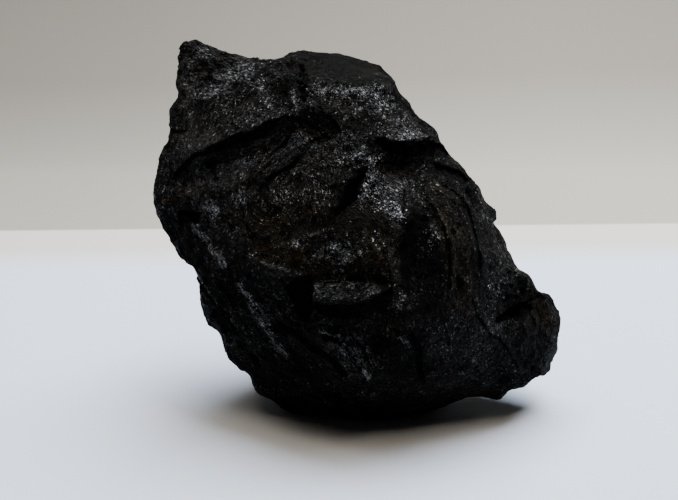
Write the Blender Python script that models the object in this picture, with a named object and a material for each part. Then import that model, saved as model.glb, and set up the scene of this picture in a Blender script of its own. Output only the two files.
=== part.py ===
# A hand-sized lump of raw gilsonite, the glossy black natural asphalt.
#
# The lump is one solid. Its corners are chosen one by one and grouped into named ridges and swells, in
# millimetres: X runs to the right, Y runs away from the front, Z runs up from the surface it rests on.
# A skin is stretched over the corners, refined into small triangles, drawn tight between its ridges as
# broken glass is, bitten by shell-shaped scars, roughened, and cut flat where it rests.

import math

import bmesh
import bpy
from mathutils import Vector, noise

MM = 0.001

CORE = Vector((2.0, 12.0, 42.0))   # every corner can be seen from this point inside the lump
RIDGE_STEP = 4.0                   # longest piece of a ridge before the skin is stretched
STRETCH_ROUNDS = 5                 # tries at making the skin follow every ridge
EDGE_LIMIT = 4.6                   # longest triangle edge after refining
REFINE_ROUNDS = 6
RELAX_ROUNDS = 4
FREE_RELAX = 0.5                   # how far a free point moves to the middle of its neighbours
RIDGE_RELAX = 0.25                 # the same along a ridge

# Shallow dishes all over the skin, which meet in low crests: their size, and their depth
DISHES = [(16.0, 2.8), (7.0, 1.0)]
DISH_SEED = Vector((31.0, 7.0, 19.0))
CREST_HEIGHT = 0.6                 # how far the crests stand above the skin

# Shells flaked off the skin: the middle of the ball that each one fits, and its radius
SCARS = {
    "back_shell": ((22, 70, 50), 32),
    "left_shell": ((-70, 30, 44), 28),
    "heel_shell": ((-30, 40, 4), 18),
}

# Lines that stay sharp: outlines, lips and feet of ledges, ribs and creases
RIDGES = {
    "crest": [(-48.5, 17, 99), (-47.5, 18, 100.5), (-43, 20, 100.5), (-38.5, 20, 98), (-34.5, 20, 97),
              (-29.5, 18, 95.5), (-27.5, 17, 96.5), (-25, 15, 95.5), (-20, 14, 96), (-18, 16, 98),
              (-15.5, 18, 98), (-9, 20, 97.5), (-2, 20, 96), (3.5, 18, 94.5), (7.5, 15, 93), (9, 12, 91.5)],
    "shoulder": [(9, 12, 91.5), (11.5, 9, 88), (15.5, 7, 82), (20.5, 4, 78.5), (22, 5, 75),
                 (25, 7, 71.5), (29.5, 7, 66.5), (31.5, 5, 65), (34, 6, 61), (37.5, 7, 55)],
    "right_side": [(37.5, 7, 55), (37.5, 7, 51), (42, 9, 45), (46.5, 9, 39), (48.5, 7, 37.5),
                   (51.5, 9, 33), (55.5, 8, 29.5), (57, 5, 24.5), (56.5, 5, 19), (54.5, 4, 9.5)],
    "left_side": [(-48.5, 17, 99), (-49, 16, 94), (-49.5, 14, 87), (-51, 12, 82.5), (-51.5, 9, 75),
                  (-53, 8, 72), (-54.5, 6, 67), (-55.5, 5, 61.5), (-55, 3, 55.5), (-51.5, 1, 51.5),
                  (-49, 0, 45.5), (-46, 1, 40), (-43.5, 4, 36), (-44, 7, 31.5), (-43, 6, 26.5),
                  (-41.5, 5, 23)],
    "horn_lap": [(-49.5, 14, 87), (-47, 10, 87), (-40.5, 6, 87), (-35, 3, 88), (-28.5, 3, 91), (-25, 7, 92),
                 (-24, 14, 95.5)],
    "gully_left": [(-25, 7, 92), (-22.5, 1, 88.5), (-21, -3, 85)],
    "rib": [(-17, 5, 94.5), (-17.5, 1, 91.5), (-17, -5, 87.5), (-16, -9, 84)],
    "gully_right": [(-16, 14, 96.5), (-13.5, 6, 93.5), (-13, -3, 90.5)],
    "brow": [(-13, -3, 90.5), (-4.5, -5, 91), (3, -5, 91), (6.5, -3, 90.5), (9, 3, 90), (9, 12, 91.5)],
    "brow_foot": [(-12.5, -7.5, 87.5), (-4, -10, 88), (3.5, -10, 88), (8.5, -6.5, 88)],
    "brow_side": [(6.5, -3, 90.5), (8.5, -6.5, 88), (13, -7, 83), (18.5, -6, 79.5), (20.5, 4, 78.5)],
    "long_ledge_lip": [(-50.5, 1, 65), (-47, -2, 68.5), (-43.5, -4, 72), (-39, -6, 74.5),
                       (-34.5, -7, 77), (-28, -8, 79.5), (-23, -9, 81), (-19, -9.5, 83), (-15.5, -10, 84)],
    "long_ledge_foot": [(-50.5, 1, 65), (-47.5, -0.5, 64), (-42.5, -3, 66.5), (-38, -4.5, 68.5),
                        (-33, -6, 71), (-28, -7, 73.5), (-22.5, -8, 76), (-17.5, -9, 79), (-13, -10, 81)],
    "slab_side": [(-51.5, 9, 75), (-50.5, 4, 70.5), (-50.5, 1, 65), (-50, -2, 57)],
    "panel_crease": [(-15, -13, 78), (-16, -16, 72), (-22, -15, 69), (-26.5, -14, 64.5), (-31.5, -14, 61.5),
                     (-39, -11, 60)],
    "step_lip": [(-13, -9, 87), (-12, -11, 86), (-8, -13, 84.5), (-4.5, -14, 80.5), (3, -15, 78.5)],
    "step_foot": [(-13, -10, 83.5), (-9.5, -11, 81), (-6.5, -12.5, 78)],
    "alcove_lip": [(3, -15, 78.5), (8, -16, 78), (12.5, -15, 78), (18, -11, 78.5), (20.5, -4, 78)],
    "alcove_roof": [(5, -13.5, 72.5), (9.5, -12.5, 72), (15, -10.5, 71.5), (19.5, -5.5, 71)],
    "alcove_sill": [(3, -17.5, 72.5), (5, -18, 70.5), (10, -17.5, 70), (17, -14, 69), (22.5, -9, 67),
                    (27.5, -3, 66), (31.5, 5, 65)],
    "cleft_lip": [(1, -20, 72), (-3.5, -23.5, 68.5), (-5, -26, 64.5), (-6.5, -28.5, 60.5)],
    "cleft_foot": [(3, -17.5, 72.5), (1, -19.5, 68), (-1.5, -23.5, 64.5), (-6.5, -28.5, 60.5)],
    "bright_face_edge": [(3, -17.5, 72.5), (0, -27, 63.5), (-6.5, -28.5, 60.5)],
    "bright_face_foot": [(0, -27, 63.5), (6, -29, 62), (10, -30, 58), (13, -27, 60), (15, -22.5, 63.5),
                         (16.5, -17, 67), (17, -14, 69)],
    "dome_edge": [(-6.5, -28.5, 60.5), (-3.5, -31.5, 58.5), (1, -32, 60), (6, -29, 62)],
    "belt": [(-30, -19, 53.5), (-26, -23, 49.5), (-21.5, -26.5, 48.5), (-14.5, -30.5, 48), (-11.5, -31, 46)],
    "shelf_back": [(-11.5, -31, 46), (-3.5, -32, 46.5), (5, -33, 47)],
    "shelf_lip": [(-11.5, -31, 46), (-11, -35.5, 43), (-5, -37.5, 42.5), (0.5, -38, 43), (6, -37, 45.5),
                  (5, -33, 47)],
    "wedge": [(-14.5, -30.5, 48), (-17, -26, 41), (-14, -27, 36.5), (-11, -35.5, 43)],
    "chin": [(-10, -31, 34), (-9, -31.5, 31.5), (-5, -33, 30.5), (-1.5, -33, 27), (2.5, -28, 19)],
    "nose": [(7.5, -36, 50.5), (9.5, -37, 43), (10.5, -34.5, 31.5), (12.5, -28, 20.5)],
    "cheek_line": [(-46, -3, 61), (-40, -10.5, 54), (-34.5, -16, 47.5), (-29.5, -19, 41), (-24.5, -21, 33),
                   (-21, -20.5, 27.5), (-17, -19, 21), (-12.5, -14.5, 11)],
    "seam_lip": [(-49, 0, 51), (-47, -4, 46.5), (-41.5, -10, 41), (-35.5, -14, 34), (-31, -15, 27.5),
                 (-26.5, -14, 20.5), (-22, -10.5, 12)],
    "seam_foot": [(-46, 0, 41), (-42, -3, 36), (-38, -6, 30), (-33.5, -8, 24), (-29, -8, 17)],
    "right_ridge": [(17, -14, 69), (18.5, -21.5, 63.5), (21, -26, 56.5), (22, -29, 49.5), (22.5, -31, 43),
                    (19.5, -33, 35.5), (17, -30, 26.5)],
    "scar_lip": [(27, -12, 63), (29, -17, 57), (30.5, -19.5, 50.5), (31, -22, 45)],
    "scar_foot": [(29, -9, 61.5), (31, -12.5, 55.5), (32.5, -14.5, 49.5), (33, -18, 44)],
    "pit_rim": [(34.5, -22, 32.5), (40.5, -14, 35), (46, -8, 34), (46.5, -10.5, 29.5), (39.5, -19, 30),
                (34.5, -22, 32.5)],
    "knob_edge": [(46.5, 9, 39), (45.5, -3, 38.5), (46, -8, 34)],
    "knob_foot": [(46.5, -10.5, 29.5), (48.5, -11, 22.5), (48.5, -8, 14)],
    # the hidden side
    "back_crest": [(-43, 20, 100.5), (-40, 27, 92), (-30, 32, 88), (-19, 30, 89), (-8, 34, 90), (2, 31, 87),
                   (9, 22, 88), (9, 12, 91.5)],
    "back_horn": [(-49, 16, 94), (-49, 22, 84), (-46, 28, 76), (-47, 27, 66), (-52, 18, 60),
                  (-55.5, 5, 61.5)],
    "back_split": [(-19, 30, 89), (-17, 37, 80), (-20, 42, 68), (-14, 46, 56), (-17, 46, 44), (-11, 43, 32)],
    "back_ledge_lip": [(-14, 46, 56), (-3, 48, 58), (8, 46, 60), (17, 40, 62), (24, 31, 60), (31, 20, 60),
                       (37.5, 7, 55)],
    "back_ledge_foot": [(-10, 43, 62), (0, 44, 64), (9, 42, 66), (17, 35, 67), (24, 26, 66)],
    "back_left_facet": [(-47, 27, 66), (-39, 36, 60), (-30, 42, 57), (-20, 42, 68)],
    "back_left_foot": [(-52, 18, 60), (-47, 24, 46), (-38, 34, 36), (-27, 40, 33), (-17, 46, 44)],
    "back_right_fin": [(24, 31, 60), (28, 36, 48), (36, 32, 38), (42, 26, 34), (48, 18, 33), (51.5, 9, 33)],
    "back_toe": [(42, 26, 34), (46, 24, 24), (50, 17, 16), (54.5, 4, 9.5)],
    "back_keel": [(-11, 43, 32), (-2, 41, 22), (8, 42, 19), (20, 40, 22), (28, 36, 30), (36, 32, 38)],
    "back_heel": [(-38, 34, 36), (-32, 28, 22), (-20, 26, 10), (-8, 27, 7), (-2, 41, 22)],
}

# Points that only carry the skin, which stays soft there
SWELLS = {
    "horn_face": [(-46, 14, 93.5), (-41.5, 13, 93.5), (-36, 11, 92.5), (-31.5, 9, 93.5)],
    "mantle": [(-46, 6, 80.5), (-39, 2, 83), (-31.5, -0.5, 84), (-41.5, -0.5, 76), (-24.5, -4, 84.5),
               (-34, -4, 79), (-49, 5, 72)],
    "gully_floor": [(-19, 8, 92), (-14.5, -2, 87)],
    "flat_top": [(-12, 10, 95), (-4, 8, 94.5), (3, 7, 93.5), (-6, 0, 92.8), (2, 0, 92.3)],
    "upper_face": [(-7, -12, 86), (0, -12, 84.5), (7, -12, 84), (12, -12, 80.5)],
    "left_panel": [(-44, -4.5, 64), (-34.5, -8.5, 67.5), (-25, -11, 71.5), (-18, -12.5, 76)],
    "cheek": [(-10.5, -14.5, 76.5), (-3.5, -15, 77), (-7, -18.5, 73.5), (-0.5, -18, 75)],
    "hackled_face": [(-21, -18.5, 62), (-14.5, -20.5, 68.5), (-8.5, -21.5, 71), (-12, -25, 62),
                     (-33, -16.5, 57)],
    "bright_face": [(8, -20, 68), (12.5, -19.5, 67), (10, -23.5, 64.5)],
    "dome": [(-18, -26.5, 55.5), (-7, -33, 54.5), (-0.5, -35, 54), (6.5, -34.5, 54.5)],
    "hollow": [(-9, -30, 39), (-3.5, -29, 37.5), (2.5, -31.5, 39), (-2.5, -28.5, 34), (4, -27.5, 30),
               (6, -31.5, 35.5)],
    "left_flank": [(-45, -5.5, 54)],
    "under_left": [(-39, 2, 24), (-34.5, 0, 17), (-31, 1, 9.5)],
    "valley": [(16, -24, 60), (12.5, -28.5, 56), (13, -30.5, 48.5), (17, -27.5, 52)],
    "flank": [(33, -5.5, 56.5), (36.5, -8, 48.5), (39, -9.5, 43), (26.5, -27.5, 38.5), (29.5, -26, 29),
              (34.5, -20, 39)],
    "pit_floor": [(39, -11.5, 32)],
    "knob": [(50, -4.5, 33), (53, -4, 26.5), (54, -2.5, 19.5)],
    "toe": [(38, -21.5, 26.5), (43.5, -14, 16), (37.5, -11, 9.5), (50, 3, 7)],
    "belly": [(32, -17, 14.5), (24, -20, 15), (16, -18, 10.5), (7, -16.5, 8.5), (-2, -14.5, 7.5),
              (-9, -13, 7.5)],
    "foot": [(45, 1, 5.5), (41.5, -2, 4.5), (36.5, -4, 4), (31, -5, 4.5), (22.5, -6, 1.5), (14.5, -8, -0.5),
             (3.5, -9.5, -0.5), (-6, -8, -1), (-15.5, -6, -0.5), (-22, -3, 1), (-26.5, -1, 4)],
    "sole": [(0, 4, -1.5), (10, 8, -1.5), (-10, 8, -1.5), (0, 16, -1.5), (-18, 6, -1), (21, 6, -1)],
    "heel": [(-13, 18, 0), (2, 24, 0), (16, 20, 0), (-26, 12, 6), (31, 12, 6), (24, 28, 9), (42, 12, 9)],
    "back_upper": [(-44, 25, 86), (-33, 38, 76), (-26, 37, 82), (-6, 39, 79), (4, 38, 76), (14, 28, 75),
                   (20, 18, 73), (27, 16, 66)],
    "back_middle": [(-30, 41, 66), (-37, 37, 48), (-26, 42, 46), (0, 45, 46), (12, 45, 44), (4, 45, 34),
                    (20, 41, 40), (36, 20, 48)],
    "back_low": [(-44, 18, 36), (-40, 18, 26), (8, 34, 9), (34, 28, 20), (38, 22, 14)],
}


def split_line(points):
    """A ridge's line as short straight pieces, each a pair of places."""
    pieces = []
    for start, end in zip(points, points[1:]):
        start, end = Vector(start), Vector(end)
        count = max(1, math.ceil((end - start).length / RIDGE_STEP))
        stops = [start.lerp(end, stop / count) for stop in range(count + 1)]
        pieces += zip(stops, stops[1:])
    return pieces


def halve(pieces, edges):
    """The same pieces, with each one that has no edge of the skin cut in two."""
    halved = []
    for (start, end), edge in zip(pieces, edges):
        if edge:
            halved.append((start, end))
        else:
            middle = start.lerp(end, 0.5)
            halved += [(start, middle), (middle, end)]
    return halved


def stretch_skin(pieces):
    """A closed skin over all corners, triangulated as they are seen from the core.

    Returns the skin, and for each ridge piece the edge that follows it, or None.
    """
    swells = [Vector(place) for points in SWELLS.values() for place in points]
    mesh = bmesh.new()
    corners = {}
    for place in swells + [place for piece in pieces for place in piece]:
        key = place.to_tuple(3)
        if key not in corners:
            corners[key] = mesh.verts.new((place - CORE).normalized())
    bmesh.ops.convex_hull(mesh, input=mesh.verts[:])
    edges = [mesh.edges.get([corners[place.to_tuple(3)] for place in piece]) for piece in pieces]
    for place, vert in corners.items():
        vert.co = place
    return mesh, edges


def ridged_skin():
    """The skin over all corners, with its ridges marked as sharp edges."""
    pieces = [piece for points in RIDGES.values() for piece in split_line(points)]
    mesh, edges = stretch_skin(pieces)
    for _ in range(STRETCH_ROUNDS):
        if None not in edges:
            break
        mesh.free()
        pieces = halve(pieces, edges)
        mesh, edges = stretch_skin(pieces)
    for edge in filter(None, edges):
        edge.smooth = False
    return mesh


def refine(mesh):
    """Split long edges until every triangle is small, turning the free edges for better triangles."""
    for _ in range(REFINE_ROUNDS):
        long_edges = [edge for edge in mesh.edges if edge.calc_length() > EDGE_LIMIT]
        if not long_edges:
            break
        bmesh.ops.subdivide_edges(mesh, edges=long_edges, cuts=1)
        bmesh.ops.triangulate(mesh, faces=mesh.faces[:])
        free_edges = [edge for edge in mesh.edges if edge.smooth]
        bmesh.ops.beautify_fill(mesh, faces=mesh.faces[:], edges=free_edges)


def move(places):
    """Put each vertex at its new place, all at once."""
    for vert, place in places.items():
        vert.co = place


def draw_tight(mesh):
    """Draw the skin tight between the ridges, and take the kinks out of the ridges."""
    for _ in range(RELAX_ROUNDS):
        places = {}
        for vert in mesh.verts:
            ridge = [edge for edge in vert.link_edges if not edge.smooth]
            if len(ridge) not in (0, 2):
                continue   # a ridge's end or a meeting of ridges stays
            edges = ridge or vert.link_edges
            middle = sum((edge.other_vert(vert).co for edge in edges), Vector()) / len(edges)
            places[vert] = vert.co.lerp(middle, RIDGE_RELAX if ridge else FREE_RELAX)
        move(places)


def flake_off(mesh):
    """Push what lies inside each scar's ball out to the ball's surface."""
    for middle, radius in SCARS.values():
        middle = Vector(middle)
        for vert in mesh.verts:
            reach = vert.co - middle
            if reach.length < radius:
                vert.co = middle + reach.normalized() * radius


def roughen(mesh):
    """Sink each point along its normal into dishes of a few sizes, with sharp crests between them."""
    mesh.normal_update()
    places = {}
    for vert in mesh.verts:
        sinking = sum(depth * abs(noise.noise(vert.co / size + DISH_SEED)) for size, depth in DISHES)
        places[vert] = vert.co + vert.normal * (CREST_HEIGHT - sinking)
    move(places)


def cut_sole(mesh):
    """Cut the lump flat where it rests, at height zero, and close the cut with one face."""
    parts = mesh.verts[:] + mesh.edges[:] + mesh.faces[:]
    up = (0, 0, 1)
    cut = bmesh.ops.bisect_plane(mesh, geom=parts, plane_co=(0, 0, 0), plane_no=up, clear_inner=True)
    rim = [part for part in cut["geom_cut"] if isinstance(part, bmesh.types.BMEdge)]
    for edge in rim:
        for vert in edge.verts:
            vert.co.z = 0.0
    bmesh.ops.contextual_create(mesh, geom=rim)


def centre(mesh):
    """Put the middle of the lump's box over the origin."""
    shift = Vector()
    for axis in (0, 1):
        values = [vert.co[axis] for vert in mesh.verts]
        shift[axis] = -(min(values) + max(values)) / 2
    bmesh.ops.translate(mesh, vec=shift, verts=mesh.verts[:])


def gilsonite():
    """Near-black, with a soft gloss where it is freshly broken."""
    material = bpy.data.materials.new("gilsonite")
    material.use_nodes = True
    shader = material.node_tree.nodes["Principled BSDF"]
    shader.inputs["Base Color"].default_value = (0.012, 0.011, 0.010, 1.0)
    shader.inputs["Roughness"].default_value = 0.45
    shader.inputs["Metallic"].default_value = 0.0
    return material


def gilsonite_lump():
    mesh = ridged_skin()
    refine(mesh)
    draw_tight(mesh)
    flake_off(mesh)
    roughen(mesh)
    cut_sole(mesh)
    centre(mesh)
    bmesh.ops.recalc_face_normals(mesh, faces=mesh.faces[:])
    bmesh.ops.scale(mesh, vec=(MM, MM, MM), verts=mesh.verts[:])
    data = bpy.data.meshes.new("gilsonite_lump")
    mesh.to_mesh(data)
    mesh.free()
    data.materials.append(gilsonite())
    lump = bpy.data.objects.new("gilsonite_lump", data)
    bpy.context.scene.collection.objects.link(lump)


def main():
    for existing in list(bpy.data.objects):
        bpy.data.objects.remove(existing, do_unlink=True)
    gilsonite_lump()


main()
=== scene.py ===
import math

import bpy
import numpy as np
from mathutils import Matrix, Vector, kdtree


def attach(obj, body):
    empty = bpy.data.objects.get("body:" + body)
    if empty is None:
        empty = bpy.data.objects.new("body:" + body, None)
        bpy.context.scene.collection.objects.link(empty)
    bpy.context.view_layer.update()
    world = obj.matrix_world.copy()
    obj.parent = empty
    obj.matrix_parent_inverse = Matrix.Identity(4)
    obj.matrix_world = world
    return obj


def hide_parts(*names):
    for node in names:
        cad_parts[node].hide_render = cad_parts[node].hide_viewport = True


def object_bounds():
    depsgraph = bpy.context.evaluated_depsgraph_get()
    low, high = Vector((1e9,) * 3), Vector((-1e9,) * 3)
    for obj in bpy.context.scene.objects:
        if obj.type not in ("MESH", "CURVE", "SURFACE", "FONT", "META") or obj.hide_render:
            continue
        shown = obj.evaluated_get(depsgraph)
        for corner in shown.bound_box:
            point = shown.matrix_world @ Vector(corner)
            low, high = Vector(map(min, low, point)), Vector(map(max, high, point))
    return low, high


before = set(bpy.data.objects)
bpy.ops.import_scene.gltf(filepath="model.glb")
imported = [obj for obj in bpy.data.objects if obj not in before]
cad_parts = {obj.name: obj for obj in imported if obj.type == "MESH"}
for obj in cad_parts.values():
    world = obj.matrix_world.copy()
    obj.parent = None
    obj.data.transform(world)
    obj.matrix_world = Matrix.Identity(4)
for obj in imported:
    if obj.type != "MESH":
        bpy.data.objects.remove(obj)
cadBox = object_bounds()

mm = 0.001

# where the eye stands, in millimetres from the lump's own origin, and the frame that it fills
eye = {
    "place": (-5.7, -296.0, 118.6),
    "downTilt": 14.0,           # degrees below level
    "lens": 59.0,               # on a 36 mm sensor
    "frameSize": (678, 500),
}


def deselectAll():
    if bpy.context.object and bpy.context.object.mode != "OBJECT":
        bpy.ops.object.mode_set(mode="OBJECT")
    bpy.ops.object.select_all(action="DESELECT")


def activate(piece):
    deselectAll()
    piece.select_set(True)
    bpy.context.view_layer.objects.active = piece


def addCamera():
    deselectAll()
    tilt = math.radians(90 - eye["downTilt"])
    bpy.ops.object.camera_add(location=[value * mm for value in eye["place"]], rotation=(tilt, 0, 0))
    camera = bpy.context.object
    camera.name = "frontCamera"
    camera.data.lens = eye["lens"]
    camera.data.clip_start = 0.01
    bpy.context.scene.camera = camera


addCamera()
print("camera placed")


# Geometry is worked out on plain arrays, in millimetres.

def readPoints(piece):
    flat = np.empty(len(piece.data.vertices) * 3)
    piece.data.vertices.foreach_get("co", flat)
    return flat.reshape(-1, 3) / mm


def readNormals(piece):
    flat = np.empty(len(piece.data.vertices) * 3)
    piece.data.vertices.foreach_get("normal", flat)
    return flat.reshape(-1, 3)


def writePoints(piece, points):
    piece.data.vertices.foreach_set("co", (points * mm).ravel())
    piece.data.update()


def smoothStep(low, high, value):
    share = np.clip((value - low) / (high - low), 0, 1)
    return share * share * (3 - 2 * share)


def eyeAxes():
    tilt = math.radians(eye["downTilt"])
    forward = np.array((0, math.cos(tilt), -math.sin(tilt)))
    up = np.array((0, math.sin(tilt), math.cos(tilt)))
    return forward, up


def frontSpots(points):
    # where each point stands in the front view's frame, in its pixels, right and down
    forward, up = eyeAxes()
    away = points - np.array(eye["place"])
    depth = away @ forward
    width, height = eye["frameSize"]
    focal = eye["lens"] / 36 * width
    return np.stack((width / 2 + focal * away[:, 0] / depth, height / 2 - focal * (away @ up) / depth), 1)


def facing(points, normals):
    # 1 where the surface looks at the eye, 0 where it looks away
    away = np.array(eye["place"]) - points
    away /= np.linalg.norm(away, axis=1)[:, None]
    return smoothStep(-0.05, 0.2, (away * normals).sum(1))


def lineDistance(spots, line):
    # distance to a line of points, below it if positive, and the share of its length passed
    line = np.array(line, float)
    runs = np.linalg.norm(np.diff(line, axis=0), axis=1)
    starts = np.concatenate(([0], np.cumsum(runs)))
    best = np.full(len(spots), 1e9)
    side = np.ones(len(spots))
    passed = np.zeros(len(spots))
    for index, (start, end) in enumerate(zip(line, line[1:])):
        along = (end - start) / runs[index]
        offset = spots - start
        reach = np.clip(offset @ along, 0, runs[index])
        gap = offset - reach[:, None] * along
        distance = np.linalg.norm(gap, axis=1)
        nearer = distance < best
        best = np.where(nearer, distance, best)
        side = np.where(nearer, np.sign(along[0] * offset[:, 1] - along[1] * offset[:, 0]), side)
        passed = np.where(nearer, (starts[index] + reach) / starts[-1], passed)
    return best * side, passed


def blob(spots, middle, radii, turn=0.0, soft=0.5):
    # 1 inside a turned oval of the front view, fading to 0 at its edge
    angle = math.radians(turn)
    offset = spots - np.array(middle, float)
    across = offset[:, 0] * math.cos(angle) + offset[:, 1] * math.sin(angle)
    down = -offset[:, 0] * math.sin(angle) + offset[:, 1] * math.cos(angle)
    reach = np.hypot(across / radii[0], down / radii[1])
    return 1 - smoothStep(1 - soft, 1 + soft * 0.4, reach)


def waveNoise(points, size, seed):
    # smooth seeded noise from -1 to 1 on a lattice of the given size
    spots = points / size + seed * 7.31
    base = np.floor(spots).astype(np.int64)
    part = spots - base
    blend = part * part * (3 - 2 * part)
    total = np.zeros(len(points))
    for corner in range(8):
        step = np.array((corner & 1, corner >> 1 & 1, corner >> 2 & 1))
        cell = base + step
        mixed = cell[:, 0] * 73856093 ^ cell[:, 1] * 19349663 ^ cell[:, 2] * 83492791 ^ seed * 2654435
        mixed = (mixed ^ (mixed >> 13)) * 1274126177 & 0x7FFFFFFF
        value = (mixed ^ (mixed >> 16)) % 65536 / 32767.5 - 1
        weight = np.prod(np.where(step == 1, blend, 1 - blend), axis=1)
        total += weight * value
    return total


# The lump's skin starts as a copy of the solid, merged and split fine.

lump = {
    "cuts": 2,                 # each edge of the solid becomes this many plus one
    "fineCuts": 1,             # and the faces turned to the eye are split again
    "softenRounds": 2,
    "creaseAngle": 22.0,       # edges of the solid sharper than this stay crisp
    "shadeAngle": 38.0,
    "facingLimit": 0.02,       # how far from edge-on a face has to turn to the eye to be split again
    "flatLimit": 0.000001,     # in m, up to which a face belongs to the flat sole
}


def selectFront(piece):
    bpy.ops.mesh.select_all(action="DESELECT")
    bpy.ops.mesh.select_mode(type="FACE")
    bpy.ops.object.mode_set(mode="OBJECT")
    place = Vector(eye["place"]) * mm
    for face in piece.data.polygons:
        turned = (place - face.center).normalized().dot(face.normal)
        face.select = turned > lump["facingLimit"] and face.center.z > 0.0005
    bpy.ops.object.mode_set(mode="EDIT")


def copySolid():
    deselectAll()
    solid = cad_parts["gilsonite_lump"]
    skin = bpy.data.objects.new("lumpSkin", solid.data.copy())
    bpy.context.scene.collection.objects.link(skin)
    skin.data.materials.clear()
    activate(skin)
    bpy.ops.object.mode_set(mode="EDIT")
    bpy.ops.mesh.select_all(action="SELECT")
    bpy.ops.mesh.remove_doubles(threshold=0.000002)
    bpy.ops.mesh.select_mode(type="EDGE")
    bpy.ops.mesh.select_all(action="DESELECT")
    bpy.ops.mesh.edges_select_sharp(sharpness=math.radians(lump["creaseAngle"]))
    bpy.ops.object.mode_set(mode="OBJECT")
    crisp = skin.vertex_groups.new(name="crisp")
    ends = sorted({end for edge in skin.data.edges if edge.select for end in edge.vertices})
    crisp.add(ends, 1.0, "REPLACE")
    bpy.ops.object.mode_set(mode="EDIT")
    bpy.ops.mesh.select_all(action="SELECT")
    bpy.ops.mesh.subdivide(number_cuts=lump["cuts"])
    bpy.ops.mesh.quads_convert_to_tris()
    selectFront(skin)
    bpy.ops.mesh.subdivide(number_cuts=lump["fineCuts"])
    bpy.ops.mesh.select_all(action="SELECT")
    bpy.ops.mesh.quads_convert_to_tris()
    bpy.ops.object.mode_set(mode="OBJECT")
    loose = skin.vertex_groups.new(name="loose")
    for vertex in skin.data.vertices:
        held = sum(group.weight for group in vertex.groups if group.group == crisp.index)
        if vertex.co.z > 0.0004:
            loose.add([vertex.index], max(0.0, 1 - held), "REPLACE")
    soften = skin.modifiers.new("soften", "SMOOTH")
    soften.factor = 0.6
    soften.iterations = lump["softenRounds"]
    soften.vertex_group = "loose"
    bpy.ops.object.modifier_apply(modifier="soften")
    return skin


skin = copySolid()
broadNormals = readNormals(skin)
print("skin has", len(skin.data.polygons), "triangles")


# Each carving step moves the skin's points, in millimetres.

# Small pulls of the outline: a spot of the front view, how far it moves right and down, and
# the radius, all in pixels
pulls = [
    ((181, 42), (-2.5, -1.5), 9), ((204, 43), (-1.5, 2.0), 8), ((238, 55), (0.5, -2.5), 13),
    ((256, 58), (0.5, -2.5), 5), ((267, 60), (0, 1.5), 5), ((292, 52), (-1.5, -2.0), 9),
    ((178, 82), (-2.5, 0.5), 24), ((170, 106), (-2.5, 0.5), 14), ((166, 130), (-1.5, 0), 12),
    ((155, 192), (-3.5, 0), 24), ((156, 214), (-2.0, 2.0), 9), ((180, 258), (-4.5, 3.0), 20),
    ((199, 287), (2.0, -0.5), 9), ((232, 356), (-6.5, 4.5), 30), ((258, 390), (-4.0, 3.0), 20),
    ((350, 58), (0, -1.5), 28), ((378, 66), (0.5, -1.5), 12), ((408, 104), (2.5, -1.5), 18),
    ((442, 137), (-1.5, 1.0), 10), ((462, 165), (1.5, -1.5), 14), ((478, 190), (2.5, -1.0), 14),
    ((496, 221), (-2.5, 1.5), 7), ((509, 248), (-1.5, 1.0), 7), ((531, 277), (4.0, -4.0), 18),
    ((549, 296), (4.5, -4.0), 14), ((560, 322), (2.5, 0.5), 18), ((557, 350), (1.5, 1.5), 14),
    ((545, 372), (3.5, 5.0), 16), ((522, 381), (2.0, 7.0), 20), ((500, 395), (0.5, 4.0), 14),
]
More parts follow.
